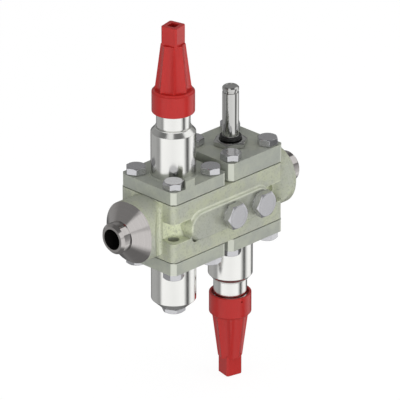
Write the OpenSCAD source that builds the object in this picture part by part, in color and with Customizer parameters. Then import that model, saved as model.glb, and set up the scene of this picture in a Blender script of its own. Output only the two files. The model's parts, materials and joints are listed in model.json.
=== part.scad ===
// Refrigeration valve station: one cast body with four function modules.
// A stop valve and a solenoid valve sit on top, a strainer and a second stop
// valve hang below. Flow: inlet, upper stop valve, strainer, solenoid valve,
// lower stop valve, outlet. Millimetres, +X along the flow, +Z up, and the
// origin is the centre of the inlet weld face.

/* [Body casting] */
// Side of the square covers, and of the body faces under them
cover_size = 63; // [60:1:66]
// Gap between the two covers of one side
cover_gap = 5; // [4:1:12]
// Height of the body between its machined faces
body_h = 52; // [50:1:60]
// Rounding of the upright corners of the casting
corner_round = 5; // [3:0.5:7]
// Height of the open waist between the corner bosses
waist_h = 18; // [12:1:19]
// Radius of the round module wall inside the waist
waist_r = 24.5; // [23:0.5:26]
// Fillet between this wall and the corner bosses
waist_fillet = 3; // [1:0.5:5]

/* [Weld ends] */
// Width of the neck where it leaves the body
neck_root_w = 32; // [26:1:36]
// Length of the straight neck root
neck_root_l = 4.5; // [3:0.5:10]
// Length over which the neck flares out to the collar
neck_flare_l = 12; // [8:1:16]
// Length of the full collar
collar_l = 4.5; // [3:0.5:8]
// Width across the collar
collar_w = 53; // [50:1:56]
// Corner rounding of the collar
collar_round = 24.5; // [16:0.5:25]
// Length of the machined cone
cone_l = 9.7; // [8:0.1:14]
// Length of the weld stub
stub_l = 10.1; // [8:0.1:20]
// Outside diameter of the weld stub
stub_d = 26.9; // [24:0.1:30]
// Bore of the weld stub
pipe_bore = 17.9; // [14:0.1:19]
// Depth and length of the weld bevel
weld_bevel = 2.3; // [1:0.1:3]

/* [Passages] */
// Diameter of the module chambers
chamber_d = 36; // [34:1:37]
// Depth of the module chambers below the body face
chamber_depth = 18; // [16:0.5:19]
// Diameter of the flanges that the covers clamp
insert_d = 44; // [42:0.5:46]
// Thickness of these flanges
insert_t = 4; // [3:0.5:5]
// Diameter of the orifice between the two modules of a column
orifice_d = 14; // [10:1:15]
// Height of the raised seat around an orifice
seat_h = 1.2; // [0.8:0.1:1.6]
// Width of the raised seat
seat_w = 2; // [1.4:0.2:2.4]
// Diameter of the slanted drillings between the chambers
drilling_d = 11; // [8:0.5:12]
// Radial clearance of parts that are pushed into each other
push_fit = 0.05; // [0.03:0.01:0.09]

/* [Service ports] */
// Diameter of the bosses on the port pad
port_boss_d = 25; // [22:1:27]
// Height of the port pad over the front face
pad_h = 3.5; // [2:0.5:5]
// Diameter of the plug shank
port_shank_d = 16; // [12:0.5:16.5]
// Depth of the plug hole below the pad
port_depth = 13; // [10:0.5:13.5]
// Diameter of the drilling behind the plug
port_drill_d = 6; // [4:0.5:8]
// Width across flats of the port plug
plug_flats = 21; // [20:1:24]
// Height of the port plug's head
plug_head_h = 7.3; // [5:0.1:10]
// Thickness of the washer under the plug
plug_washer_t = 1.5; // [1:0.1:2]

/* [Covers and bolts] */
// Thickness of the stop valve and strainer covers
cover_t = 11.2; // [10:0.1:15]
// Thickness of the solenoid cover
solenoid_cover_t = 15.9; // [14:0.1:19]
// Chamfer on the cover corners at the weld ends
cover_chamfer = 3.5; // [2:0.1:5]
// Chamfer on the cover corners at the gap
gap_chamfer = 2.6; // [1:0.1:5]
// Thickness of the cover gaskets
gasket_t = 0.8; // [0.5:0.1:1]
// Distance by which a gasket stays inside the cover's outline
gasket_inset = 1.2; // [0.4:0.1:1.5]
// Distance from a cover's side to its bolts
bolt_inset = 9.5; // [9:0.1:10]
// Diameter of the bolts
bolt_d = 10; // [8:0.5:10]
// Width across flats of the bolt heads
bolt_flats = 16; // [14:0.5:17]
// Height of the bolt heads
bolt_head_h = 6.4; // [5:0.1:8]
// Length of bolt that is screwed into the body
bolt_grip = 12.5; // [10:0.5:15]
// Height of the locating lug on a stop valve cover
lug_h = 7; // [4:0.5:10]
// Width of the locating lug
lug_w = 10.4; // [8:0.2:12]
// Depth of the locating lug
lug_depth = 5.5; // [4:0.5:7]
// Distance of the lug from the middle of its side
lug_x = 11.6; // [8:0.2:12]
// Diameter of the raised ring around a bonnet
ring_d = 42; // [41:0.5:43]
// Height of this ring
ring_h = 0.8; // [0.4:0.1:1.5]

/* [Bonnet and spindle] */
// Diameter of the bonnet
bonnet_d = 38.2; // [36:0.2:40]
// Height of the bonnet's full diameter over the body face
bonnet_h = 50.5; // [46:0.5:56]
// Height of the conical shoulder
shoulder_h = 4.5; // [3:0.5:6]
// Diameter of the threaded neck
neck_d = 28.8; // [27:0.2:31]
// Length of the neck above the shoulder
neck_l = 23; // [20:0.5:30]
// Diameter of the spindle
spindle_d = 12; // [10:0.5:14]
// Side of the square at the spindle's end
spindle_square = 8; // [6:0.5:8]
// Length of this square
square_l = 12; // [8:0.5:14]
// Diameter of the packing chamber
packing_d = 20; // [18:0.5:21]
// Height of the packing
packing_h = 14; // [10:0.5:18]
// Depth of the packing chamber below the neck's end
packing_depth = 32; // [28:0.5:36]
// Width across flats of the gland nut
gland_flats = 19; // [17:0.5:20]
// Height of the gland nut's head
gland_head_h = 6; // [4:0.5:8]
// Diameter of the valve cone
cone_d = 23; // [21:0.5:26]
// Thickness of the valve cone
cone_t = 5; // [4:0.5:6]
// Lift of the valve cone
valve_lift = 6; // [4:0.5:6.5]

/* [Seal cap] */
// Diameter of the skirt
skirt_d = 36.3; // [34:0.1:38]
// Height of the skirt
skirt_h = 18.6; // [17:0.2:20]
// Length of bare neck below the skirt
neck_show = 13.4; // [10:0.2:16]
// Height of the skirt's sloping shoulder
cap_shoulder_h = 3.5; // [2:0.5:5]
// Diameter at the foot of the taper
taper_foot_d = 30.6; // [29:0.2:33]
// Diameter at the top of the taper
taper_top_d = 20.8; // [20:0.2:24]
// Height of the taper
taper_h = 38.6; // [36:0.2:46]
// Number of flutes around the taper
flutes = 8; // [7:1:12]
// Radius of the flutes
flute_r = 14; // [12:1:40]
// Side of the square block at the cap's end
block_w = 15.1; // [12:0.1:16]
// Height of this block
block_h = 16.4; // [12:0.1:18]
// Side of the square socket in the block
socket_w = 7.6; // [6:0.2:9]
// Depth of the socket
socket_depth = 10; // [6:0.5:12]
// Thickness of the cap's sealing ring
cap_ring_t = 1; // [0.6:0.1:1.6]
// Diameter of the hole for a seal wire
wire_hole_d = 1.6; // [1:0.1:2.5]

/* [Solenoid valve] */
// Width across flats of the armature tube's hexagon
tube_flats = 26; // [24:0.5:28]
// Height of this hexagon
tube_hex_h = 4.8; // [4:0.1:8]
// Diameter of the armature tube
tube_d = 14.1; // [13:0.1:16]
// Length of the tube above the hexagon
tube_l = 48.4; // [42:0.2:56]
// Diameter of the tube's thread in the cover
tube_thread_d = 18; // [16:0.5:19]
// Length of this thread
tube_thread_l = 10; // [8:0.2:11]
// Thickness of the coil's sealing ring
coil_ring_t = 3.8; // [3:0.1:5]
// Outside diameter of the coil's sealing ring
coil_ring_d = 18.6; // [18:0.1:21]
// Diameter of the armature
armature_d = 11; // [9:0.1:11.2]
// Length of the armature
armature_l = 37; // [30:0.5:40]
// Room for the armature's spring
armature_room = 13; // [10:0.5:14]
// Lift of the armature
armature_lift = 2.5; // [1.5:0.1:3]
// Diameter of the main piston
piston_d = 28; // [26:0.5:29]
// Height of the main piston's skirt
piston_skirt_h = 4; // [3:0.2:5]
// Lift of the main piston
piston_lift = 4; // [2:0.5:4.5]

/* [Strainer] */
// Length of the strainer housing's full diameter
housing_l = 51.1; // [46:0.1:60]
// Height of the housing's conical end
housing_cone_h = 7.2; // [6:0.1:10]
// Diameter at the end of the cone
housing_end_d = 22.8; // [22:0.2:28]
// Wall of the housing
housing_wall = 3.6; // [3:0.1:5]
// Diameter of the strainer basket
basket_d = 26; // [22:0.5:28]
// Wall of the basket
basket_wall = 1; // [0.8:0.1:1.6]
// Width of the slots in the basket
slot_w = 2.4; // [1.6:0.1:3]
// Width across flats of the drain plug
drain_flats = 18; // [15:0.5:19]
// Height of the drain plug's head
drain_head_h = 4.2; // [2.5:0.1:8]

/* [Hidden] */

$fn = 64;
cut = 1;                        // how far a cut runs past the face it opens

// Colours of the finishes
CASTING = [0.69, 0.72, 0.63];
COVER = [0.65, 0.67, 0.62];
STEEL = [0.80, 0.80, 0.79];
ZINC = [0.70, 0.69, 0.71];
RED = [0.72, 0.20, 0.19];
BLACK = [0.10, 0.10, 0.10];
BRASS = [0.72, 0.60, 0.35];
WHITE = [0.90, 0.90, 0.88];
FIBRE = [0.28, 0.30, 0.28];

// Places of the body, from its centre
pitch = cover_size + cover_gap;
body_x = pitch / 2 + cover_size / 2;
body_y = cover_size / 2;
body_z = body_h / 2;
flare_x = body_x + neck_root_l;
collar_x = flare_x + neck_flare_l;
cone_x = collar_x + collar_l;
stub_x = cone_x + cone_l;
end_x = stub_x + stub_l;
cone_slope = (collar_w - stub_d) / 2 / cone_l;
web_z = body_z - chamber_depth;
seat_z = seat_h - chamber_depth;
pad_y = body_y + pad_h;
bore_end = 4.5;                   // how far the pipe bore runs into the block
way_out = 2;                    // where a slanted way starts, outside the block
way_x = 12.5;                   // and where it ends: distance from the module's axis
way_z = web_z + 7;              // and from the body's middle plane
waist_x = pitch / 2 + port_boss_d / 2 - 1.5;
bolt_p = cover_size / 2 - bolt_inset;

// Heights of a stop valve, from the body face outwards
ring_gap = 0.4;                 // how far a soft seat ring stands out of its holder
soft_t = 1.6;                   // thickness of a soft seat ring
soft_margin = 0.8;              // how much wider than the seat the ring is, on each side
cone_z = seat_z + ring_gap;
hub_d = 16;
hub_h = 6.4;
hub_floor = 1.4;                // metal under the spindle's tip in the hub
tip_d = 9;
neck_z = bonnet_h + shoulder_h;
neck_top = neck_z + neck_l;
packing_z = neck_top - packing_depth;
gland_z = packing_z + packing_h;
hub_room_z = cone_z + cone_t + hub_h + valve_lift + 1;
hub_room_d = hub_d + 2;
tip_z = cone_z + cone_t + hub_floor;
stem_z = cone_z + cone_t + hub_h + 0.3;
square_z = neck_top + gland_head_h + 4;
spindle_top = square_z + square_l;
cap_z = neck_z + neck_show;
cap_ring_top = neck_top + cap_ring_t;
cap_taper_z = cap_z + skirt_h + cap_shoulder_h;
cap_block_z = cap_taper_z + taper_h;
cap_top = cap_block_z + block_h;
cap_room_d = gland_flats * 2 / sqrt(3) + 1.6;
cap_room_top_d = spindle_square * sqrt(2) + 3.6;
cap_room_top = cap_block_z - 6;

// Heights of the solenoid valve, from the body face outwards
cover_z = gasket_t;
solenoid_top = cover_z + solenoid_cover_t;
tube_foot = solenoid_top - tube_thread_l;
hex_z = solenoid_top;
tube_z = hex_z + tube_hex_h;
tube_top = tube_z + tube_l;
coil_foot_d = tube_d + 0.6;      // collar at the tube's foot that the coil's ring sits on
coil_foot_z = tube_z + coil_ring_t + 0.3;
nozzle_h = 2;
armature_z = tube_foot + nozzle_h;
spring_play = 0.15;             // free space at each end of a spring
armature_top = armature_z + armature_l;
core_z = armature_top + armature_room;
guide_l = 9;
skirt_z = -piston_lift - 0.5 - piston_skirt_h;
piston_disc_d = 21;
piston_disc_t = 2.4;
piston_well_z = cone_z + piston_disc_t + 2;

// Heights of the strainer, from the body face outwards
housing_cone_z = housing_l;
housing_end = housing_l + housing_cone_h;
basket_end = housing_l - 1.1;
drain_shank_d = 12;
drain_washer_t = 0.7;

// Angles at which the four bolts of a cover stand after tightening
upper_turns = [26, 40, 47, 52];
solenoid_turns = [26, 59, 12, 52];
lower_turns = [26, 40, 32, 52];
wire_turn = 102;
cap_turn = 13;                  // of the block, against the ridges between the flutes
block_cut = 1.2;                // chamfer on the block's upright edges
tube_turn = 32;                 // of the armature tube's hexagon

// Frames
module in_frame() translate([end_x, 0, 0]) children();
module upper_stop() in_frame() translate([-pitch / 2, 0, body_z]) children();
module solenoid_side() in_frame() translate([pitch / 2, 0, body_z]) children();
module filter_side() in_frame() translate([-pitch / 2, 0, 0]) rotate([180, 0, 0])
    translate([0, 0, body_z]) children();
module lower_stop() in_frame() translate([pitch / 2, 0, 0]) rotate([180, 0, 0])
    translate([0, 0, body_z]) children();

// A rectangle with round corners, centred
module round_rect(w, d, r) {
    square([w - 2 * r, d], center = true);
    square([w, d - 2 * r], center = true);
    for (sx = [-1, 1], sy = [-1, 1])
        translate([sx * (w / 2 - r), sy * (d / 2 - r)]) circle(r);
}

// A square with its corners cut off by a on the left and by b on the right
module cut_square(w, a, b) {
    h = w / 2;
    polygon([
        [a - h, -h], [h - b, -h], [h, b - h], [h, h - b],
        [h - b, h], [a - h, h], [-h, h - a], [-h, a - h]
    ]);
}

// A fillet in the corner of the first quadrant
module fillet(r) difference() {
    square(r);
    translate([r, r]) circle(r);
}

// A ring of rectangular section
module ring(d_out, d_in, h) difference() {
    cylinder(h = h, d = d_out);
    translate([0, 0, -cut]) cylinder(h = h + 2 * cut, d = d_in);
}

// A hexagon head with a chamfered outer face and a round washer face
module hex_head(flats, h, chamfer = 1, face = 0.4) {
    across = flats * 2 / sqrt(3);
    cylinder(h = face, d = flats * 0.96);
    translate([0, 0, face]) intersection() {
        cylinder(h = h - face, d = across, $fn = 6);
        union() {
            cylinder(h = h - face - chamfer, d = across + 1);
            translate([0, 0, h - face - chamfer])
                cylinder(h = chamfer, d1 = across + 0.2, d2 = across + 0.2 - 3.2 * chamfer);
        }
    }
}

// A straight drilling from p to q in the XZ plane
module drilling(p, q, d) {
    run = q - p;
    translate(p) rotate([0, atan2(run[0], run[2]), 0]) cylinder(h = norm(run), d = d);
}

// A compression spring: wire swept along a helix between z = 0 and z = h
module spring(coil_d, wire_d, h, turns) {
    sides = 6;
    per_turn = 14;
    steps = turns * per_turn;
    rise = h - wire_d;
    points = [
        for (i = [0:steps], j = [0:sides - 1])
            let (a = 360 * i / per_turn, b = 360 * j / sides, r = coil_d / 2 + wire_d / 2 * cos(b))
            [r * cos(a), r * sin(a), wire_d / 2 + rise * i / steps + wire_d / 2 * sin(b)]
    ];
    walls = [
        for (i = [0:steps - 1], j = [0:sides - 1])
            let (k = (j + 1) % sides)
            [i * sides + j, i * sides + k, (i + 1) * sides + k, (i + 1) * sides + j]
    ];
    ends = [[for (j = [sides - 1:-1:0]) j], [for (j = [0:sides - 1]) steps * sides + j]];
    polyhedron(points, concat(walls, ends));
}

// Body casting
module block() linear_extrude(height = body_h, center = true)
    round_rect(2 * body_x, 2 * body_y, corner_round);

// The open waist around the corner bosses of one end
module waist() for (sx = [-1, 1], sy = [-1, 1]) intersection() {
    mirror([sx < 0 ? 1 : 0, 0, 0]) mirror([0, sy < 0 ? 1 : 0, 0])
        translate([waist_x, neck_root_w / 2, -body_z]) cube([body_x, body_y, body_h]);
    translate([sx * pitch / 2, 0, 0]) rotate_extrude() difference() {
        translate([waist_r, -waist_h / 2]) square([body_x, waist_h]);
        for (s = [0, 1]) mirror([0, s]) translate([waist_r, -waist_h / 2]) fillet(waist_fillet);
    }
}

// Neck, collar, machined cone and weld stub of the +X end
module neck() {
    inner = body_x;
    root = neck_root_w / 2;
    half = collar_w / 2;
    out_r = half * 1.5;
    root_fillet = 2.5;
    intersection() {
        translate([inner, 0, 0]) rotate([90, 0, 90]) linear_extrude(cone_x - inner)
            round_rect(collar_w, collar_w, collar_round);
        linear_extrude(height = 2 * half + 2, center = true) union() {
            polygon([
                [inner, -root], [flare_x, -root], [collar_x, -half], [cone_x, -half],
                [cone_x, half], [collar_x, half], [flare_x, root], [inner, root]
            ]);
            for (s = [0, 1]) mirror([0, s]) translate([body_x, root]) fillet(root_fillet);
        }
        rotate([0, 90, 0]) rotate_extrude() polygon([
            [0, inner], [out_r, inner], [out_r, cone_x - (out_r - half) / cone_slope],
            [half, cone_x], [0, cone_x]
        ]);
    }
    rotate([0, 90, 0]) rotate_extrude() polygon([
        [0, cone_x - 1], [half - 2, cone_x - 1], [half - 2, cone_x], [half, cone_x],
        [stub_d / 2, stub_x], [stub_d / 2, end_x - weld_bevel],
        [stub_d / 2 - weld_bevel, end_x], [0, end_x]
    ]);
}

// Raised pad with the three port bosses on the front
module port_pad() {
    root_y = waist_r - 6;
    for (x = [-pitch / 2, 0, pitch / 2]) translate([x, -root_y, 0]) rotate([90, 0, 0])
        cylinder(h = pad_y - root_y, d = port_boss_d);
    translate([-pitch / 2, -pad_y, -port_boss_d / 2]) cube([pitch, pad_y - root_y, port_boss_d]);
}

// The pocket of one module, seen from its own face
module pocket() {
    translate([0, 0, -insert_t]) cylinder(h = insert_t + cut, d = insert_d + 2 * push_fit);
    translate([0, 0, -chamber_depth]) cylinder(h = chamber_depth, d = chamber_d);
    for (sx = [-1, 1], sy = [-1, 1])
        translate([sx * bolt_p, sy * bolt_p, waist_h / 2 - body_z])
            cylinder(h = body_z - waist_h / 2 + cut, d = bolt_d + 2 * push_fit);
}

// The slanted way from a weld end into its chamber
module end_way() {
    rotate([0, 90, 0]) translate([0, 0, body_x - bore_end]) cylinder(h = end_x, d = pipe_bore);
    drilling([body_x + way_out, 0, 1], [pitch / 2 + way_x, 0, -way_z], drilling_d);
}

module port_hole(x) translate([x, 0, 0]) rotate([90, 0, 0]) {
    translate([0, 0, pad_y - port_depth]) cylinder(h = port_depth + cut, d = port_shank_d + 2 * push_fit);
    cylinder(h = pad_y, d = port_drill_d);
}

module valve_body() color(CASTING) in_frame() difference() {
    union() {
        difference() {
            union() {
                difference() {
                    block();
                    waist();
                }
                neck();
                rotate([0, 180, 0]) neck();
                port_pad();
            }
            for (x = [-pitch / 2, pitch / 2], flip = [0, 180])
                translate([x, 0, 0]) rotate([flip, 0, 0]) translate([0, 0, body_z]) pocket();
        }
        for (x = [-pitch / 2, pitch / 2]) translate([x, 0, 0])
            cylinder(h = 2 * (web_z + seat_h), d = orifice_d + 2 * seat_w, center = true);
    }
    for (x = [-pitch / 2, pitch / 2])
        translate([x, 0, 0]) cylinder(h = body_h, d = orifice_d, center = true);
    end_way();
    rotate([0, 180, 0]) end_way();
    drilling([way_x - pitch / 2, 0, -way_z], [pitch / 2 - way_x, 0, way_z], drilling_d);
    port_hole(0);
    port_hole(pitch / 2);
}

module port_plug(x) color(ZINC) in_frame() translate([x, -pad_y, 0]) rotate([90, 0, 0]) {
    translate([0, 0, plug_washer_t]) hex_head(plug_flats, plug_head_h, 1.4);
    translate([0, 0, 1 - port_depth]) cylinder(h = port_depth - 1 + plug_washer_t, d = port_shank_d);
}

module port_washer(x) color(ZINC) in_frame() translate([x, -pad_y, 0]) rotate([90, 0, 0])
    ring(plug_flats, port_shank_d + 2 * push_fit, plug_washer_t);

// Covers, gaskets and bolts, from the body face outwards
module bolt_holes(d, h) for (sx = [-1, 1], sy = [-1, 1])
    translate([sx * bolt_p, sy * bolt_p, -cut]) cylinder(h = h + 2 * cut, d = d);

module cover_plate(t) translate([0, 0, cover_z]) difference() {
    linear_extrude(t) cut_square(cover_size, cover_chamfer, gap_chamfer);
    bolt_holes(bolt_d + 1, t);
}

// Locating lug, cut back around the head of the bolt beside it
module lug() difference() {
    translate([-lug_w / 2, -cover_size / 2, 0]) cube([lug_w, lug_depth, lug_h + cut]);
    translate([lug_x - bolt_p, -bolt_p, cut]) cylinder(h = lug_h + cut, d = bolt_flats * 2 / sqrt(3) + 0.8);
}

module stop_cover() color(COVER) difference() {
    union() {
        cover_plate(cover_t);
        translate([0, 0, cover_z + cover_t - cut]) cylinder(h = ring_h + cut, d = ring_d);
        translate([-lug_x, 0, cover_z + cover_t - cut]) lug();
    }
    cylinder(h = cover_z + cover_t + ring_h + cut, d = bonnet_d + 2 * push_fit);
}

module filter_cover() color(COVER) difference() {
    cover_plate(cover_t);
    cylinder(h = cover_z + cover_t + cut, d = bonnet_d + 2 * push_fit);
}

module gasket(hole_d) color(FIBRE) difference() {
    linear_extrude(gasket_t) cut_square(cover_size - 2 * gasket_inset, cover_chamfer, gap_chamfer);
    bolt_holes(bolt_d + 1, gasket_t);
    translate([0, 0, -cut]) cylinder(h = gasket_t + 2 * cut, d = hole_d);
}

module bolts(t, turns) color(ZINC) for (i = [0:3]) {
    x = i % 2 == 0 ? -bolt_p : bolt_p;
    y = i < 2 ? -bolt_p : bolt_p;
    translate([x, y, cover_z + t]) rotate([0, 0, turns[i]]) {
        hex_head(bolt_flats, bolt_head_h);
        translate([0, 0, -cover_z - t - bolt_grip]) cylinder(h = cover_z + t + bolt_grip, d = bolt_d);
    }
}

// Stop valve
module bonnet() color(STEEL) difference() {
    rotate_extrude() polygon([
        [0, -insert_t], [insert_d / 2, -insert_t], [insert_d / 2, 0], [bonnet_d / 2, 0],
        [bonnet_d / 2, bonnet_h - 0.4], [bonnet_d / 2 - 0.4, bonnet_h],
        [neck_d / 2 + 1.2, neck_z - 0.8], [neck_d / 2 + 1.2, neck_z - 0.2],
        [neck_d / 2 - 0.4, neck_z - 0.2], [neck_d / 2 - 0.4, neck_z + 0.6],
        [neck_d / 2, neck_z + 0.6], [neck_d / 2, neck_top - 1], [neck_d / 2 - 1, neck_top],
        [0, neck_top]
    ]);
    translate([0, 0, -insert_t - cut]) cylinder(h = neck_top + insert_t + 2 * cut, d = spindle_d + 2 * push_fit);
    translate([0, 0, -insert_t - cut]) cylinder(h = hub_room_z + insert_t + cut, d = hub_room_d);
    translate([0, 0, packing_z]) cylinder(h = packing_depth + cut, d = packing_d);
}

module packing() color(WHITE) translate([0, 0, packing_z])
    ring(packing_d - 2 * push_fit, spindle_d + 2 * push_fit, packing_h);

module gland_nut() color(STEEL) difference() {
    union() {
        translate([0, 0, gland_z])
            cylinder(h = neck_top - gland_z + 0.5, d = packing_d - 2 * push_fit);
        translate([0, 0, neck_top]) hex_head(gland_flats, gland_head_h, 0.8);
    }
    cylinder(h = neck_top + gland_head_h + cut, d = spindle_d + 2 * push_fit);
}

module seat_groove(holder_z) translate([0, 0, holder_z - cut]) difference() {
    cylinder(h = soft_t - ring_gap + cut, d = orifice_d + 2 * (seat_w + soft_margin));
    cylinder(h = soft_t - ring_gap + cut, d = orifice_d - 2 * soft_margin);
}

module soft_ring() color(WHITE) translate([0, 0, seat_z])
    ring(orifice_d + 2 * (seat_w + soft_margin) - 2 * push_fit, orifice_d - 2 * (soft_margin - push_fit), soft_t);

module stop_cone() color(STEEL) difference() {
    union() {
        translate([0, 0, cone_z]) cylinder(h = cone_t, d = cone_d);
        translate([0, 0, cone_z + cone_t]) cylinder(h = hub_h, d = hub_d);
    }
    translate([0, 0, tip_z]) cylinder(h = hub_h + cut, d = tip_d + 2 * push_fit);
    seat_groove(cone_z);
}

module spindle() color(STEEL) union() {
    translate([0, 0, tip_z + 0.1]) cylinder(h = stem_z - tip_z, d = tip_d);
    translate([0, 0, stem_z]) cylinder(h = square_z - stem_z, d = spindle_d);
    translate([0, 0, square_z]) intersection() {
        translate([-spindle_square / 2, -spindle_square / 2, -cut])
            cube([spindle_square, spindle_square, square_l + cut]);
        translate([0, 0, -cut]) cylinder(h = square_l + cut, d = spindle_d - 1.2);
    }
}

module cap_ring() color(BLACK) translate([0, 0, neck_top]) ring(neck_d - 1, cap_room_d + 0.6, cap_ring_t);

// Distance of a flute's axis that leaves the ridges at radius r
function flute_axis(r) = r * cos(180 / flutes) + sqrt(pow(flute_r, 2) - pow(r * sin(180 / flutes), 2));

// One shallow groove along the taper of the cap
module flute() {
    foot = flute_axis(taper_foot_d / 2);
    lean = atan2(foot - flute_axis(taper_top_d / 2), taper_h);
    translate([foot, 0, cap_taper_z]) rotate([0, -lean, 0])
        translate([0, 0, -2]) cylinder(h = taper_h / cos(lean) + 8, r = flute_r);
}

module seal_cap() color(RED) difference() {
    union() {
        difference() {
            rotate_extrude() polygon([
                [0, cap_z], [skirt_d / 2 - 0.6, cap_z], [skirt_d / 2, cap_z + 0.6],
                [skirt_d / 2, cap_z + skirt_h - 0.8], [skirt_d / 2 - 0.8, cap_z + skirt_h],
                [taper_foot_d / 2, cap_taper_z], [taper_top_d / 2, cap_block_z], [0, cap_block_z]
            ]);
            for (i = [0:flutes - 1]) rotate([0, 0, 360 / flutes * (i + 0.5)]) flute();
        }
        translate([0, 0, cap_block_z - 2]) rotate([0, 0, cap_turn])
            linear_extrude(block_h + 2) cut_square(block_w, block_cut, block_cut);
    }
    rotate_extrude() polygon([
        [0, cap_z - cut], [neck_d / 2 + 1.6, cap_z - cut], [neck_d / 2 + 1.6, cap_z + 2.6],
        [neck_d / 2 + push_fit, cap_z + 2.6], [neck_d / 2 + push_fit, cap_ring_top],
        [cap_room_d / 2, cap_ring_top], [cap_room_d / 2, neck_top + gland_head_h + 2.5],
        [cap_room_top_d / 2, cap_room_top], [0, cap_room_top]
    ]);
    translate([0, 0, cap_top - socket_depth]) rotate([0, 0, cap_turn])
        translate([-socket_w / 2, -socket_w / 2, 0]) cube([socket_w, socket_w, socket_depth + cut]);
    translate([0, 0, cap_z + 3.6]) rotate([0, 90, wire_turn]) cylinder(h = skirt_d, d = wire_hole_d);
}

// Solenoid valve
module solenoid_cover() color(COVER) difference() {
    cover_plate(solenoid_cover_t);
    difference() {
        translate([0, 0, tube_foot]) cylinder(h = solenoid_top, d = tube_thread_d);
        translate([0, 0, tube_foot - cut]) cylinder(h = nozzle_h + cut, d = 5);
    }
    cylinder(h = solenoid_top, d = 1.8);
}

module armature_tube() color(STEEL) difference() {
    union() {
        translate([0, 0, tube_foot])
            cylinder(h = hex_z - tube_foot + 1, d = tube_thread_d - 2 * push_fit);
        translate([0, 0, hex_z]) rotate([0, 0, tube_turn])
            cylinder(h = tube_hex_h, d = tube_flats * 2 / sqrt(3), $fn = 6);
        rotate_extrude() polygon([
            [0, hex_z], [coil_foot_d / 2, hex_z], [coil_foot_d / 2, coil_foot_z],
            [tube_d / 2, coil_foot_z], [tube_d / 2, tube_top - 5.4],
            [tube_d / 2 - 0.9, tube_top - 5], [tube_d / 2 - 0.9, tube_top - 3.6],
            [tube_d / 2, tube_top - 3.2], [tube_d / 2, tube_top - 1.2],
            [tube_d / 2 - 1.2, tube_top], [0, tube_top]
        ]);
    }
    translate([0, 0, tube_foot - cut]) cylinder(h = core_z - tube_foot + cut, d = armature_d + 2 * push_fit);
}

module coil_ring() color(BLACK) translate([0, 0, tube_z + coil_ring_t / 2]) rotate_extrude() {
    width = (coil_ring_d - coil_foot_d) / 2 - push_fit;
    flat = max(coil_ring_t - width, 0.2);
    bead = (coil_ring_t - flat) / 2;
    translate([coil_foot_d / 2 + push_fit, -flat / 2]) square([width, flat]);
    translate([coil_foot_d / 2 + push_fit, -coil_ring_t / 2]) square([width - bead, coil_ring_t]);
    for (s = [-1, 1]) translate([coil_ring_d / 2 - bead, s * flat / 2]) circle(bead, $fn = 24);
}

module armature() color(STEEL) translate([0, 0, armature_z]) difference() {
    cylinder(h = armature_l, d = armature_d);
    for (s = [-1, 1]) translate([s * (armature_d / 2 + 1.4), 0, -cut])
        cylinder(h = armature_l + 2 * cut, r = 2.4, $fn = 24);
}

module armature_spring() color(ZINC) translate([0, 0, armature_top + spring_play])
    spring(armature_d - 2.6, 1, core_z - armature_top - 2 * spring_play, 7);

module piston_guide() color(BRASS) difference() {
    union() {
        translate([0, 0, -insert_t]) cylinder(h = insert_t, d = insert_d);
        translate([0, 0, -guide_l]) cylinder(h = guide_l, d = chamber_d - 2 * push_fit);
    }
    translate([0, 0, -guide_l - cut]) cylinder(h = guide_l + 2 * cut, d = piston_d + 2 * push_fit);
}

module main_piston() color(STEEL) difference() {
    union() {
        translate([0, 0, skirt_z]) cylinder(h = piston_skirt_h, d = piston_d);
        translate([0, 0, cone_z]) cylinder(h = skirt_z - cone_z, d = hub_d);
        translate([0, 0, cone_z]) cylinder(h = piston_disc_t, d = piston_disc_d);
    }
    translate([0, 0, piston_well_z]) cylinder(h = chamber_depth, d = hub_d - 4);
    seat_groove(cone_z);
}

module piston_spring() color(ZINC) translate([0, 0, piston_well_z + spring_play])
    spring(hub_d - 6, 1.2, cover_z - piston_well_z - 2 * spring_play, 5);

// Strainer
module filter_housing() color(STEEL) difference() {
    rotate_extrude() polygon([
        [0, -insert_t], [insert_d / 2, -insert_t], [insert_d / 2, 0], [bonnet_d / 2, 0],
        [bonnet_d / 2, housing_cone_z], [housing_end_d / 2, housing_end], [0, housing_end]
    ]);
    translate([0, 0, -insert_t - cut])
        cylinder(h = basket_end + insert_t + cut, d = bonnet_d - 2 * housing_wall);
    cylinder(h = housing_end + cut, d = drain_shank_d + 2 * push_fit);
}

module strainer() color(STEEL) difference() {
    union() {
        translate([0, 0, -chamber_depth]) cylinder(h = 1.5, d = chamber_d - 1);
        translate([0, 0, -chamber_depth]) cylinder(h = basket_end + chamber_depth, d = basket_d);
        translate([0, 0, basket_end - 1.5]) cylinder(h = 1.5, d = bonnet_d - 2 * housing_wall - 1);
    }
    translate([0, 0, -chamber_depth - cut])
        cylinder(h = basket_end + chamber_depth - 0.5, d = basket_d - 2 * basket_wall);
    cylinder(h = basket_end + cut, d = drain_shank_d + 2);
    for (z = [4 - chamber_depth:7:basket_end - 8], a = [0:30:150])
        translate([0, 0, z]) rotate([0, 0, a]) translate([-basket_d, -slot_w / 2, 0])
            cube([2 * basket_d, slot_w, 4.6]);
}

module drain_plug() color(ZINC) {
    translate([0, 0, housing_end + drain_washer_t]) hex_head(drain_flats, drain_head_h, 1);
    translate([0, 0, basket_end + 1])
        cylinder(h = housing_end + drain_washer_t - basket_end - 1, d = drain_shank_d);
}

module drain_washer() color(ZINC) translate([0, 0, housing_end])
    ring(drain_flats - 0.5, drain_shank_d + 2 * push_fit, drain_washer_t);

valve_body();
port_plug(0);  // center_port_plug
port_washer(0);  // center_port_washer
port_plug(pitch / 2);  // right_port_plug
port_washer(pitch / 2);  // right_port_washer

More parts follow.
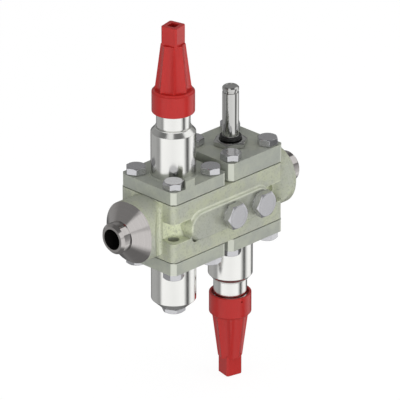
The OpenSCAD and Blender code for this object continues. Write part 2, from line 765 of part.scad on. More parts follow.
upper_stop() stop_cover();  // upper_stop_cover
upper_stop() gasket(bonnet_d + 0.4);  // upper_stop_gasket
upper_stop() bolts(cover_t, upper_turns);  // upper_stop_bolts
upper_stop() bonnet();  // upper_bonnet
upper_stop() packing();  // upper_packing
upper_stop() gland_nut();  // upper_gland_nut
upper_stop() stop_cone();  // upper_stop_cone
upper_stop() soft_ring();  // upper_seat_ring
upper_stop() spindle();  // upper_spindle
upper_stop() cap_ring();  // upper_cap_ring
upper_stop() seal_cap();  // upper_seal_cap

lower_stop() stop_cover();  // lower_stop_cover
lower_stop() gasket(bonnet_d + 0.4);  // lower_stop_gasket
lower_stop() bolts(cover_t, lower_turns);  // lower_stop_bolts
lower_stop() bonnet();  // lower_bonnet
lower_stop() packing();  // lower_packing
lower_stop() gland_nut();  // lower_gland_nut
lower_stop() stop_cone();  // lower_stop_cone
lower_stop() soft_ring();  // lower_seat_ring
lower_stop() spindle();  // lower_spindle
lower_stop() cap_ring();  // lower_cap_ring
lower_stop() seal_cap();  // lower_seal_cap

solenoid_side() solenoid_cover();
solenoid_side() gasket(chamber_d);  // solenoid_gasket
solenoid_side() bolts(solenoid_cover_t, solenoid_turns);  // solenoid_bolts
solenoid_side() armature_tube();
solenoid_side() coil_ring();
solenoid_side() armature();
solenoid_side() armature_spring();
solenoid_side() piston_guide();
solenoid_side() main_piston();
solenoid_side() soft_ring();  // piston_seat_ring
solenoid_side() piston_spring();

filter_side() filter_cover();
filter_side() gasket(bonnet_d + 0.4);  // filter_gasket
filter_side() bolts(cover_t, lower_turns);  // filter_bolts
filter_side() filter_housing();
filter_side() strainer();
filter_side() drain_plug();
filter_side() drain_washer();
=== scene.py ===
# %% [markdown]
# # Refrigeration valve station
#
# A block of cast steel joins two pipes and carries four valve modules. Two stand on
# top, two hang below. This lesson dresses the CAD frame of that station: it rounds
# edges, turns the shiny parts on a lathe, gives each metal its finish and lights it
# like a product photograph.
#
# Every length here is in millimetres until a mesh is made. `MM` turns it into metres.

import json
from math import cos, pi, radians, sin, sqrt, tan, tau

import bmesh
import bpy
from mathutils import Matrix, Vector

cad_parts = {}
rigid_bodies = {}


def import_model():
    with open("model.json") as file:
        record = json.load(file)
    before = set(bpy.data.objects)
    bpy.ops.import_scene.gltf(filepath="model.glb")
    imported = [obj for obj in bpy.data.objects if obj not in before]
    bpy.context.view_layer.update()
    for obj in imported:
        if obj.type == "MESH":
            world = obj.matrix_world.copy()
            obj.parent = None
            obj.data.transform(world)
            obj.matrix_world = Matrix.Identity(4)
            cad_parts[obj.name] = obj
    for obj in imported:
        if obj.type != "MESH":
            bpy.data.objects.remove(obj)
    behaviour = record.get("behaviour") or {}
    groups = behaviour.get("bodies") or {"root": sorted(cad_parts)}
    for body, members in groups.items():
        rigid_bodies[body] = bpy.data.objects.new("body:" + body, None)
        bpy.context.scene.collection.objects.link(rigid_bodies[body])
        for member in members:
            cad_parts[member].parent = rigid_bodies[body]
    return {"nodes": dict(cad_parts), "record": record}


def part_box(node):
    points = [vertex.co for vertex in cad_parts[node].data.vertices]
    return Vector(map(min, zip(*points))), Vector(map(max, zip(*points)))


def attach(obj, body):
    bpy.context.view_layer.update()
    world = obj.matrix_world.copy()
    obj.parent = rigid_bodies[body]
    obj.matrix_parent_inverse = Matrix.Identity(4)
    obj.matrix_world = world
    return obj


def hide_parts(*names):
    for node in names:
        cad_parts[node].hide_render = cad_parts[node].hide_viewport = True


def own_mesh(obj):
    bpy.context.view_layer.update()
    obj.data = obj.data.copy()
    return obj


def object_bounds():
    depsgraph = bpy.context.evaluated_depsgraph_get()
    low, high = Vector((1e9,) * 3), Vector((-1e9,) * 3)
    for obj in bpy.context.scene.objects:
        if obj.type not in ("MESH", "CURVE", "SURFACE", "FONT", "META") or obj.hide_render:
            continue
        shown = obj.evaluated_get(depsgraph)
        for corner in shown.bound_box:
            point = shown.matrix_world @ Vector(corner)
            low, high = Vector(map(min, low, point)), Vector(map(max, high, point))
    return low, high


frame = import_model()
cad_box = [list(corner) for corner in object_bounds()]
MM = 0.001
print("CAD box in mm:", [[round(v / MM, 1) for v in corner] for corner in cad_box])

# %% [markdown]
# ## Where the modules stand
#
# The origin is the centre of the inlet weld face. Each module has its own local
# frame: z = 0 is the machined face of the body and z grows outwards. A lower module
# is an upper one turned half a turn about the X axis, so a single function places
# all four.

# %% Places
low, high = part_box("valve_body")
MIDDLE = (low.x + high.x) / 2 / MM
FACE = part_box("upper_stop_gasket")[0].z / MM
PITCH = (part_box("solenoid_gasket")[0].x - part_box("upper_stop_gasket")[0].x) / MM
LEFT = MIDDLE - PITCH / 2
RIGHT = MIDDLE + PITCH / 2


def place(x, upper=True):
    """The matrix that takes a module's local millimetres to the frame's metres."""
    turn = Matrix.Identity(4) if upper else Matrix.Rotation(pi, 4, "X")
    shift = Matrix.Translation((x, 0, FACE if upper else -FACE))
    return Matrix.Scale(MM, 4) @ shift @ turn


UPPER_STOP = place(LEFT)
SOLENOID = place(RIGHT)
FILTER = place(LEFT, upper=False)
LOWER_STOP = place(RIGHT, upper=False)
print(f"modules at x = {LEFT:.1f} and {RIGHT:.1f} mm, faces at z = {FACE:.1f} mm")

# %% [markdown]
# ## The camera
#
# The photograph was taken from a distance with a long lens, so parallel edges stay
# parallel. A lens of about half a metre on a normal sensor does the same from five
# metres away.

# %% Camera
AZIMUTH = radians(-45.3)
ELEVATION = radians(24.7)
FRAME_WIDTH = 336.1  # what the picture shows from side to side, at the station
DISTANCE = 5000.0
SENSOR = 36.0
AIM_LEFT, AIM_UP = 1.75, 1.34  # the picture's centre, seen from the middle of the body


def linked(name, data):
    """A new object with this data, in the scene."""
    made = bpy.data.objects.new(name, data)
    bpy.context.scene.collection.objects.link(made)
    return made


def towards(turn, height):
    """The unit vector that points this way. Both angles are in radians."""
    return Vector((sin(turn) * cos(height), -cos(turn) * cos(height), sin(height)))


to_camera = towards(AZIMUTH, ELEVATION)
to_right = Vector((cos(AZIMUTH), sin(AZIMUTH), 0))
to_top = to_camera.cross(to_right)
aim = Vector((MIDDLE, 0, 0)) - AIM_LEFT * to_right + AIM_UP * to_top

lens = bpy.data.cameras.new("camera")
lens.sensor_width = SENSOR
lens.lens = SENSOR * DISTANCE / FRAME_WIDTH
lens.clip_end = 10 * DISTANCE * MM
camera = linked("camera", lens)
camera.location = (aim + DISTANCE * to_camera) * MM
camera.rotation_euler = to_camera.to_track_quat("Z", "Y").to_euler()
bpy.context.scene.camera = camera
print(f"lens {lens.lens:.0f} mm at {DISTANCE * MM:.0f} m")

# %% [markdown]
# ## Sums on sockets
#
# A material is a small program. Written as node links it is hard to read, so one
# class wraps a socket and lets Python's own signs add the Math nodes. `1 - mask`
# then means what it says.


# %% A socket that can be used in sums
class Socket:
    """An output of a node tree, or of the nodes that a sum adds to it."""

    def __init__(self, tree, output):
        self.tree, self.output = tree, output

    def node(self, kind, settings=None, out=0, **sockets):
        """Adds a node of this kind to the same tree."""
        return add_node(self.tree, kind, settings, out, **sockets)

    def math(self, operation, *terms):
        numbers = {f"i{i}": term for i, term in enumerate(terms)}
        return self.node("ShaderNodeMath", {"operation": operation}, **numbers)

    def __add__(self, other):
        return self.math("ADD", self, other)

    def __sub__(self, other):
        return self.math("SUBTRACT", self, other)

    def __rsub__(self, other):
        return self.math("SUBTRACT", other, self)

    def __mul__(self, other):
        return self.math("MULTIPLY", self, other)

    def __truediv__(self, other):
        return self.math("DIVIDE", self, other)

    def __abs__(self):
        return self.math("ABSOLUTE", self)

    __radd__ = __add__
    __rmul__ = __mul__

    def apply(self, operation):
        """A Math node that needs this value alone, such as SQRT or SINE."""
        return self.math(operation, self)

    def larger(self, other):
        return self.math("MAXIMUM", self, other)

    def turns_from(self, across):
        """The angle of the point (across, self) about the origin, in whole turns."""
        return self.math("ARCTAN2", self, across) / tau

    def rise(self, start, end):
        """0 below start, 1 above end, smooth between them."""
        return self.node(
            "ShaderNodeMapRange",
            {"interpolation_type": "SMOOTHSTEP"},
            Value=self, From_Min=start, From_Max=end,
        )

    def fall(self, start, end):
        """1 below start, 0 above end."""
        return 1 - self.rise(start, end)

    def band(self, start, full, fading, end):
        """0 below start, 1 from full to fading, 0 above end."""
        return self.rise(start, full) * self.fall(fading, end)

    def between(self, low_value, high_value):
        """Spreads a 0 to 1 value over two numbers."""
        return self * (high_value - low_value) + low_value

    def ramp(self, *stops):
        return self.node("ShaderNodeValToRGB", {"stops": stops}, Fac=self)

    def noise(self, size, detail=2.0, roughness=0.5):
        """Cloudy noise on this vector, with features of about this size in mm."""
        return self.node(
            "ShaderNodeTexNoise", out="Fac",
            Vector=self, Scale=1 / (size * MM), Detail=detail, Roughness=roughness,
        )

    def parts(self):
        split = self.node("ShaderNodeSeparateXYZ", Vector=self).output.node
        return [Socket(self.tree, output) for output in split.outputs]


# %% Adding one node
def add_node(tree, kind, settings=None, out=0, **sockets):
    """Adds a node. Settings come first, then the values or links of its sockets. A socket
    is called by its name, or by i and its number where names repeat."""
    made = tree.nodes.new(kind)
    for name, value in (settings or {}).items():
        if name == "stops":
            elements = made.color_ramp.elements
            while len(elements) < len(value):
                elements.new(0.5)
            for element, (position, colour) in zip(elements, value):
                element.position = position
                element.color = (*colour, 1)
        else:
            setattr(made, name, value)
    for name, value in sockets.items():
        if name[0] == "i" and name[1:].isdigit():
            target = made.inputs[int(name[1:])]
        else:
            target = made.inputs[name.replace("_", " ")]
        if isinstance(value, Socket):
            tree.links.new(value.output, target)
        else:
            target.default_value = value
    return Socket(tree, made.outputs[out])


def blend_colours(share, first, second):
    """Mixes two colours. Either may be a tuple or a socket."""
    made = share.tree.nodes.new("ShaderNodeMix")
    made.data_type = "RGBA"
    by_name = {socket.identifier: socket for socket in made.inputs}
    for name, value in (("Factor_Float", share), ("A_Color", first), ("B_Color", second)):
        if isinstance(value, Socket):
            share.tree.links.new(value.output, by_name[name])
        else:
            by_name[name].default_value = (*value, 1)
    result = {socket.identifier: socket for socket in made.outputs}["Result_Color"]
    return Socket(share.tree, result)


def layered(coat, *layers):
    """Lays colours over a coat. Each layer is a share from 0 to 1 and a colour."""
    for share, colour in layers:
        coat = blend_colours(share, coat, colour)
    return coat


# %% [markdown]
# ## Finishes
#
# Each finish starts from the same steps: read the place on the object, work out a
# few masks, and feed them to the colour, the roughness, the metal share and a bump.
# Places are in Object coordinates, so a pattern stays put when a piece is moved.


# %% The start of every finish
def linear(red, green, blue):
    """A colour as a screen shows it, 0 to 255, turned into linear light."""
    def straight(value):
        value = value / 255
        return value / 12.92 if value <= 0.04045 else ((value + 0.055) / 1.055) ** 2.4
    return tuple(straight(value) for value in (red, green, blue))


def darker(colour, share):
    return tuple(value * share for value in colour)


def start_finish(name):
    """A new material, its surface node, and a socket with the place in metres."""
    material = bpy.data.materials.new(name)
    material.use_nodes = True
    tree = material.node_tree
    surface = tree.nodes["Principled BSDF"]
    spot = add_node(tree, "ShaderNodeTexCoord", out="Object")
    return material, surface, spot


def set_surface(surface, height=None, depth=0.0, **values):
    """Sets or links the surface's sockets. Height is a 0 to 1 field and depth its size in mm."""
    tree = surface.id_data
    if height is not None:
        values["Normal"] = add_node(
            tree, "ShaderNodeBump", Strength=1.0, Distance=depth * MM, Height=height, out="Normal"
        )
    for name, value in values.items():
        socket = surface.inputs[name.replace("_", " ")]
        if isinstance(value, Socket):
            tree.links.new(value.output, socket)
        elif isinstance(value, tuple):
            socket.default_value = (*value, 1)
        else:
            socket.default_value = value


# %% [markdown]
# ### The casting
#
# The body is cast steel with a yellow-green passivated zinc coat, mottled at random
# and greyer on the port pad. The waist and the roots of the necks are painted paler:
# painted light that lifts the shade in these hollows. A painted highlight runs along
# the upper rim of the port pad. The cones at its ends were turned after casting, so
# they are bare and bright. They could be pieces of their own with a second material,
# but the casting is one solid, so masks find them. The cone's own equation does it: a
# place belongs to the cone where its distance from the axis matches the cone's radius
# there. The bores are painted near black, as painted shade.

# %% Sizes that the casting's masks use
CONE_START, CONE_END = 86.5, 96.2
CONE_WIDE, CONE_NARROW = 26.5, 13.45
BORE = 9.0
WAIST_HALF = 9.0
NECK_HALF = 16.5
PORT_RADIUS = 12.5
PAD_FRONT = -35.0
BODY_FRONT = -31.5


# %% Where the casting is bare
def machined_places(along, around):
    """The turned cones and stubs, and the bores, from the distances in mm along the axis
    (from the middle) and around it."""
    slope = (CONE_WIDE - CONE_NARROW) / (CONE_END - CONE_START)
    off_cone = abs(around - CONE_WIDE + (along - CONE_START) * slope)
    on_cone = off_cone.fall(0.12, 0.3) * along.rise(80, 81)
    # the bores are found here so that the finish can paint them near black, as painted shade
    inside = around.fall(BORE - 0.02, BORE + 0.1) * along.rise(50, 52)
    machined = on_cone.larger(along.rise(CONE_END - 0.3, CONE_END - 0.2)) * (1 - inside)
    return machined, inside


# %% Where the coat changes and where light is painted
def coat_places(along, y, z):
    """Masks in mm: the waist and the roots of the necks, which get painted light, the port pad, and
    the painted highlight on the pad's upper rim.
    """
    front = 0 - y
    waist_painted_light = abs(z).fall(WAIST_HALF - 1.5, WAIST_HALF + 1.5) * along.band(44, 48, 61, 66)
    root = along.band(62, 66, 68, 72) * abs(abs(y) - NECK_HALF).fall(1, 4)
    pad = front.rise(-PAD_FRONT - 1.8, -PAD_FRONT - 0.2)
    past = (along - PITCH / 2).larger(0.0)
    from_port = (past * past + z * z).apply("SQRT")
    rim = from_port.band(
        PORT_RADIUS - 2.1, PORT_RADIUS - 0.9, PORT_RADIUS + 1.1, PORT_RADIUS + 2.3
    )
    # painted highlight: a pale band on the upper side of the pad's rim, where light from above
    # catches it
    rim_painted_highlight = rim * front.rise(-BODY_FRONT - 0.5, -BODY_FRONT + 0.1) * z.rise(3, 11)
    return waist_painted_light, root, pad, rim_painted_highlight


# %% Casting
def casting_finish():
    material, surface, spot = start_finish("cast_zinc_passivated")
    x, y, z = spot.parts()
    along = abs(x / MM - MIDDLE)
    around = (y * y + z * z).apply("SQRT") / MM
    machined, inside = machined_places(along, around)
    waist_painted_light, root, pad, rim_painted_highlight = coat_places(along, y / MM, z / MM)

    cloud = spot.noise(24, 4, 0.6)
    patch = spot.noise(6, 5, 0.65)
    fleck = spot.noise(1.7, 3, 0.7)
    grain = spot.noise(0.8, 3, 0.6)
    yellow = (cloud.rise(0.4, 0.64) * 0.5 + patch.rise(0.5, 0.7) * 0.25 + 0.1) * (1 - pad * 0.6)
    coat = layered(
        linear(178, 181, 171),
        (yellow, linear(196, 201, 170)),
        # painted light: the waist and the neck roots are painted paler, to lift the shade in these
        # hollows
        (waist_painted_light, linear(226, 231, 202)),
        (root * 0.55, linear(222, 226, 200)),
        (patch.rise(0.55, 0.75) * 0.5, linear(160, 165, 152)),
        (fleck.rise(0.51, 0.66) * 0.55, linear(150, 154, 138)),
        # painted highlight along the upper rim of the port pad
        (rim_painted_highlight * cloud.rise(0.35, 0.6).between(0.3, 0.7), linear(222, 226, 208)),
        (grain.rise(0.5, 0.8) * 0.35, linear(212, 214, 194)),
    )
    # the lathe's fine rings depend on the distance along the axis and from it
    ring = spot.node("ShaderNodeCombineXYZ", X=x, Y=around * MM, Z=0.0)
    lines = ring.noise(0.35, 2)
    # the bores are painted near black: painted shade inside the pipes
    bare = layered(
        linear(172, 168, 166), (lines, linear(200, 196, 194)), (inside, linear(16, 15, 14))
    )
    height = (grain * 0.4 + patch) * (1 - machined) + lines * machined * 0.02
    metal = (machined.between(0.3, 1.0) - waist_painted_light * 0.25 + pad * 0.2) * (1 - inside * 0.8)
    stub = along.rise(CONE_END + 0.2, CONE_END + 0.8) * 0.05
    set_surface(
        surface, height, 0.2,
        Base_Color=blend_colours(machined.larger(inside), coat, bare),
        Metallic=metal,
        Roughness=machined.between(0.5, 0.11) - stub - pad * 0.2 + (patch - 0.5) * 0.1,
    )
    return material


# %% [markdown]
# ### Covers
#
# The covers are milled plate with the same coat, so they are smoother and greyer
# than the casting. A fine grain and a slow change of tone are enough. The chamfers on
# their corners are painted paler and brighter: a painted highlight of the light from
# the camera's side. All of them lie on the same square turned by 45 degrees, so one
# sum of distances finds them.

# %% Covers
CHAMFER_REACH = 59.1


def cover_finish():
    material, surface, spot = start_finish("milled_zinc_passivated")
    x, y, z = spot.parts()
    cloud = spot.noise(18, 3, 0.6)
    patch = spot.noise(3, 5, 0.6)
    grain = spot.noise(0.4, 2, 0.6)
    beside = abs(abs(x / MM - MIDDLE) - PITCH / 2)
    # painted highlight: the chamfers are painted paler where the light from the camera's side
    # catches them
    chamfer_painted_highlight = (beside + abs(y / MM)).rise(CHAMFER_REACH - 0.2, CHAMFER_REACH + 0.2)
    coat = layered(
        linear(168, 172, 163),
        (cloud.rise(0.35, 0.65), linear(180, 184, 170)),
        (patch.rise(0.5, 0.75) * 0.5, linear(154, 158, 150)),
        (chamfer_painted_highlight, linear(206, 209, 197)),
    )
    set_surface(
        surface, (grain + patch) * (1 - chamfer_painted_highlight), 0.05,
        Base_Color=coat, Metallic=chamfer_painted_highlight.between(0.3, 0.6),
        Roughness=patch.between(0.34, 0.46),
    )
    return material


# %% [markdown]
# ### Turned steel, zinc, paint and the rest
#
# Stainless steel shows the room it stands in, so its colour matters less than its
# roughness. Turning leaves fine rings. They are noise that changes along the axis
# only. The other finishes are short.


# %% Metals
def turned_finish(name, colour, roughness):
    material, surface, spot = start_finish(name)
    x, y, z = spot.parts()
    line = spot.node("ShaderNodeCombineXYZ", X=z, Y=0.0, Z=0.0)
    rings = line.noise(0.16, 3, 0.7)
    smear = spot.noise(9, 3, 0.6)
    set_surface(
        surface, rings, 0.0012,
        Base_Color=blend_colours(smear, darker(colour, 0.94), colour),
        Metallic=1.0,
        Roughness=smear.between(roughness - 0.03, roughness + 0.05) + (rings - 0.5) * 0.05,
    )
    return material


def plated_finish(name, colour, roughness):
    material, surface, spot = start_finish(name)
    patch = spot.noise(2.4, 4, 0.6)
    grain = spot.noise(0.35, 2, 0.6)
    set_surface(
        surface, grain * 0.5 + patch, 0.012,
        Base_Color=blend_colours(patch, darker(colour, 0.86), colour),
        Metallic=0.85,
        Roughness=patch.between(roughness - 0.03, roughness + 0.07),
    )
    return material


# %% Soft materials and plastic
def soft_finish(name, colour, roughness, metallic=0.0):
    material, surface, spot = start_finish(name)
    patch = spot.noise(1.6, 4, 0.6)
    set_surface(
        surface, patch, 0.02,
        Base_Color=blend_colours(patch, darker(colour, 0.9), colour),
        Metallic=metallic,
        Roughness=patch.between(roughness - 0.04, roughness + 0.04),
    )
    return material


def cap_finish():
    """Red moulded plastic with a satin skin: pale where it mirrors the studio, deep elsewhere."""
    material, surface, spot = start_finish("red_plastic")
    cloud = spot.noise(14, 3, 0.6)
    fine = spot.noise(0.5, 3, 0.6)
    colour = layered(
        linear(172, 29, 26),
        (cloud, linear(186, 36, 32)),
        (fine.rise(0.5, 0.8) * 0.25, linear(154, 24, 22)),
    )
    set_surface(
        surface, fine, 0.012,
        Base_Color=colour,
        Roughness=fine.between(0.4, 0.5),
        Specular_IOR_Level=0.3, Coat_Weight=0.35, Coat_Roughness=0.12,
    )
    return material


# %% All finishes by slot
FINISH = {
    "casting": casting_finish(),
    "cover": cover_finish(),
    "stainless": turned_finish("turned_stainless", linear(232, 232, 229), 0.185),
    "polished": turned_finish("polished_stainless", linear(196, 196, 194), 0.07),
    "zinc": plated_finish("zinc_plate", linear(199, 199, 202), 0.11),
    "cap_red": cap_finish(),
    "rubber": soft_finish("black_rubber", linear(18, 18, 18), 0.42),
    "brass": soft_finish("brass", linear(196, 172, 112), 0.3, metallic=1.0),
    "ptfe": soft_finish("white_ptfe", linear(225, 225, 220), 0.5),
    "fibre": soft_finish("fibre_gasket", linear(40, 42, 40), 0.8),
}
print("finishes:", ", ".join(FINISH))

# %% [markdown]
# ## Making pieces
#
# A machined edge is never perfectly sharp, and the thin line of light on it is what
# makes a render look real. `softened` copies a CAD node, merges its loose triangles
# into flat faces and rounds every edge by a small radius. The CAD node stays where it
# is and is only hidden.


# %% A piece of the object
def finished(name, mesh, slot, body, node, finish=None):
    """Makes a mesh a piece of the object with its finish and its body, and hides the node it stands
    for.
    """
    piece = linked(name, mesh)
    mesh.materials.clear()
    mesh.materials.append(FINISH[finish or slot])
    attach(piece, body)
    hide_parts(node)
    return piece


# %% Meshes with modifiers
EVEN_NORMALS = ("WEIGHTED_NORMAL", {"mode": "FACE_AREA", "weight": 80, "keep_sharp": True})


def edge_rounding(radius, segments=2, angle=30):
    return ("BEVEL", {
        "width": radius * MM, "segments": segments, "limit_method": "ANGLE",
        "angle_limit": radians(angle), "use_clamp_overlap": True, "miter_outer": "MITER_ARC",
    })


def baked(holder):
    """The shape of an object after its modifiers, as a plain mesh. The object goes."""
    holder.update_tag()
    depsgraph = bpy.context.evaluated_depsgraph_get()
    depsgraph.update()
    result = bpy.data.meshes.new_from_object(
        holder.evaluated_get(depsgraph), preserve_all_data_layers=True, depsgraph=depsgraph
    )
    holder.modifiers.clear()
    bpy.data.objects.remove(holder)
    return result


def with_modifiers(mesh, *modifiers):
    """Runs modifiers on a mesh and returns the result as a new mesh. Each is (type, settings)."""
    holder = linked("holder", mesh)
    for kind, settings in modifiers:
        modifier = holder.modifiers.new(kind.lower(), kind)
        for name, value in settings.items():
            setattr(modifier, name, value)
    return baked(holder)


def mesh_from(shape, name):
    """Turns a bmesh into a mesh with smooth shading."""
    mesh = bpy.data.meshes.new(name)
    shape.to_mesh(mesh)
    shape.free()
    mesh.shade_smooth()
    return mesh


# %% Softening a CAD node
SAME_POINT = 0.002
SAME_PLANE = radians(0.5)


def round_wide(shape, chosen, radius, angle):
    """Rounds the edges whose middle, in mm, is chosen. A concave edge becomes a fillet."""
    edges = []
    for edge in shape.edges:
        middle = (edge.verts[0].co + edge.verts[1].co) / 2 / MM
        is_corner = len(edge.link_faces) == 2 and edge.calc_face_angle() > radians(angle)
        if is_corner and chosen(*middle):
            edges.append(edge)
    bmesh.ops.bevel(
        shape, geom=edges, offset=radius * MM, offset_type="OFFSET", segments=5, profile=0.5,
        affect="EDGES", clamp_overlap=False, loop_slide=True, material=-1, miter_outer="ARC",
    )
    return len(edges)


def cut_out(mesh, tool):
    """The mesh without what lies inside the tool."""
    cutter = linked("cutter", tool)
    result = with_modifiers(
        mesh, ("BOOLEAN", {"operation": "DIFFERENCE", "solver": "EXACT", "object": cutter})
    )
    bpy.data.objects.remove(cutter)
    return result


def softened(node, radius, segments=2, angle=30, wide=(), tools=()):
    """A copy of a CAD node with rounded edges. Wide holds pairs of a choice of edges and
    their larger radius. Tools are meshes that are cut out of the result."""
    shape = bmesh.new()
    shape.from_mesh(frame["nodes"][node].data)
    bmesh.ops.remove_doubles(shape, verts=shape.verts, dist=SAME_POINT * MM)
    bmesh.ops.dissolve_limit(
        shape, angle_limit=SAME_PLANE, verts=shape.verts, edges=shape.edges
    )
    for chosen, wide_radius in wide:
        print(node, "edges rounded wide:", round_wide(shape, chosen, wide_radius, angle))
    mesh = mesh_from(shape, node)
    mesh.set_sharp_from_angle(angle=radians(angle))
    mesh = with_modifiers(mesh, edge_rounding(radius, segments, angle))
    for tool in tools:
        mesh = cut_out(mesh, tool)
        mesh.set_sharp_from_angle(angle=radians(angle))
    return with_modifiers(mesh, EVEN_NORMALS)


# %% Joining and moving
SHARP_EDGE = radians(40)


def joined(name, *meshes):
    """Several meshes as one."""
    shape = bmesh.new()
    for mesh in meshes:
        shape.from_mesh(mesh)
    result = mesh_from(shape, name)
    result.set_sharp_from_angle(angle=SHARP_EDGE)
    return result


def moved(mesh, where):
    """A copy of a mesh, taken through a matrix."""
    copy = mesh.copy()
    copy.transform(where)
    return copy


# %% [markdown]
# ## A lathe
#
# Bonnets, tubes and rings are turned parts. `turned` spins an outline of (radius,
# height, rounding) points about the local z axis. Each corner is replaced by a short
# arc first, so the highlight runs round it as it does on the real part.

# %% Rounded outlines
ARC_STEPS = 4
SIDE_SHARE = 0.48  # an arc takes up at most this much of the sides that it joins


def rounded(outline):
    """The closed outline with each corner turned into an arc of its own radius."""
    points = []
    count = len(outline)
    for i, (across, along, rounding) in enumerate(outline):
        corner = Vector((across, along))
        before = Vector(outline[i - 1][:2]) - corner
        after = Vector(outline[(i + 1) % count][:2]) - corner
        if rounding <= 0 or before.length * after.length == 0:
            points.append(corner)
            continue
        half_angle = before.angle(after) / 2
        longest = SIDE_SHARE * min(before.length, after.length)
        reach = min(rounding / tan(half_angle), longest)
        start, end = corner + before.normalized() * reach, corner + after.normalized() * reach
        for step in range(ARC_STEPS + 1):
            t = step / ARC_STEPS
            points.append(start * (1 - t) ** 2 + corner * (2 * t * (1 - t)) + end * t ** 2)
    return points


print("a rounded corner becomes", ARC_STEPS + 1, "points")

# %% Lathe
ROUND_POINTS = 72
WELD = 1e-4  # points closer than this, in the rings' own unit, become one


def stacked(rings, name, closed=False):
    """Joins outlines of equal length into a solid, one above the other."""
    shape = bmesh.new()
    loops = [[shape.verts.new(point) for point in ring] for ring in rings]
    pairs = list(zip(loops, loops[1:]))
    if closed:
        pairs.append((loops[-1], loops[0]))
    for ring, following in pairs:
        for i in range(len(ring)):
            j = (i + 1) % len(ring)
            shape.faces.new([ring[i], ring[j], following[j], following[i]])
    if not closed:
        shape.faces.new(loops[0])
        shape.faces.new(loops[-1])
    bmesh.ops.remove_doubles(shape, verts=shape.verts, dist=WELD)
    loose = [edge for edge in shape.edges if edge.is_wire]
    bmesh.ops.delete(shape, geom=loose, context="EDGES")
    bmesh.ops.recalc_face_normals(shape, faces=shape.faces)
    mesh = mesh_from(shape, name)
    mesh.set_sharp_from_angle(angle=SHARP_EDGE)
    return mesh


def circle(radius, height, segments=ROUND_POINTS):
    angles = [tau * i / segments for i in range(segments)]
    return [(radius * cos(a), radius * sin(a), height) for a in angles]


def turned(outline, name, segments=96):
    """Spins a closed outline into a solid, in local millimetres."""
    rings = [circle(max(across, 1e-6), height, segments) for across, height in rounded(outline)]
    return stacked(rings, name, closed=True)


# %% [markdown]
# ## Hexagons
#
# A bolt head is a hexagonal bar that was turned to a cone at its end, so the cone
# leaves a curved edge on each flat. The wall's height follows from the cone: the
# farther a point of the hexagon is from the axis, the lower the cone meets it.


# %% Hexagons
def hexagon(flats, height, turn=0.0):
    """A hexagon with corners at 0, 60, 120 degrees. The height may depend on the radius."""
    ring = []
    for i in range(ROUND_POINTS):
        angle = tau * i / ROUND_POINTS
        radius = flats / 2 / cos(angle % (tau / 6) - tau / 12)
        level = height(radius) if callable(height) else height
        ring.append((radius * cos(angle + turn), radius * sin(angle + turn), level))
    return ring


# %% Bolts and plugs in general
CONE_RUN = 1.6  # how far the head's cone runs outwards for each millimetre down
WASHER_FACE = 0.4
WASHER_SHARE = 0.48  # the washer face's radius, as a share of the width across flats
DISH = 0.12
DISH_START, DISH_END = 0.62, 0.74  # as shares of the radius of the flat top
TIP = 1.0


def bolt_mesh(name, flats, height, shank, length, chamfer=1.0):
    """A bolt or a plug: a hexagon head over z = 0 with its shank below."""
    cone_edge = flats / sqrt(3) + 0.1
    top = cone_edge - CONE_RUN * chamfer

    def on_cone(radius):
        return min(height, height - chamfer + (cone_edge - radius) / CONE_RUN)

    rings = [
        circle(top * DISH_START, height - DISH), circle(top * DISH_END, height),
        circle(top, height), hexagon(flats, on_cone), hexagon(flats, WASHER_FACE),
        circle(flats * WASHER_SHARE, WASHER_FACE), circle(flats * WASHER_SHARE, 0),
        circle(shank, 0), circle(shank, TIP - length), circle(shank - TIP, -length),
    ]
    mesh = stacked(rings, name)
    # modifiers work in metres
    mesh.transform(Matrix.Scale(MM, 4))
    softer = with_modifiers(mesh, edge_rounding(0.22, angle=24), EVEN_NORMALS)
    softer.transform(Matrix.Scale(1 / MM, 4))
    return softer


# %% [markdown]
# ## Rules in Geometry Nodes
#
# What repeats or follows a formula is left to Geometry Nodes: copies on points, the
# threads, the springs and the flutes of the caps. A group is built once with named
# inputs, run on a mesh, and its result is kept as a plain mesh.


# %% Building and running a group
def new_group(name, **inputs):
    """A group with a geometry and named inputs. Returns it and its inputs by name."""
    group = bpy.data.node_groups.new(name, "GeometryNodeTree")
    group.interface.new_socket("Geometry", in_out="INPUT", socket_type="NodeSocketGeometry")
    for label, kind in inputs.items():
        group.interface.new_socket(label, in_out="INPUT", socket_type="NodeSocket" + kind)
    group.interface.new_socket("Material", in_out="INPUT", socket_type="NodeSocketMaterial")
    group.interface.new_socket("Geometry", in_out="OUTPUT", socket_type="NodeSocketGeometry")
    start = group.nodes.new("NodeGroupInput")
    sockets = {output.name: Socket(group, output) for output in start.outputs if output.name}
    return group, sockets


def end_group(group, sockets, geometry):
    """Closes a group: copies become real, and everything gets the material."""
    real = add_node(group, "GeometryNodeRealizeInstances", Geometry=geometry)
    painted = add_node(
        group, "GeometryNodeSetMaterial", Geometry=real, Material=sockets["Material"]
    )
    end = group.nodes.new("NodeGroupOutput")
    group.links.new(painted.output, end.inputs[0])
    print("group", group.name, "with", len(group.nodes), "nodes")
    return group


def run_group(group, mesh, **values):
    """Runs a group on a mesh with these inputs and returns the new mesh."""
    holder = linked("holder", mesh)
    modifier = holder.modifiers.new("rule", "NODES")
    modifier.node_group = group
    for item in group.interface.items_tree:
        if item.item_type == "SOCKET" and item.in_out == "INPUT" and item.name in values:
            modifier[item.identifier] = values[item.name]
    return baked(holder)


# %% Rules that move points to and from the z axis
def about_axis(group):
    """The x, y and z of a point, and its distance from the z axis."""
    x, y, z = add_node(group, "GeometryNodeInputPosition").parts()
    return x, y, z, (x * x + y * y).apply("SQRT")


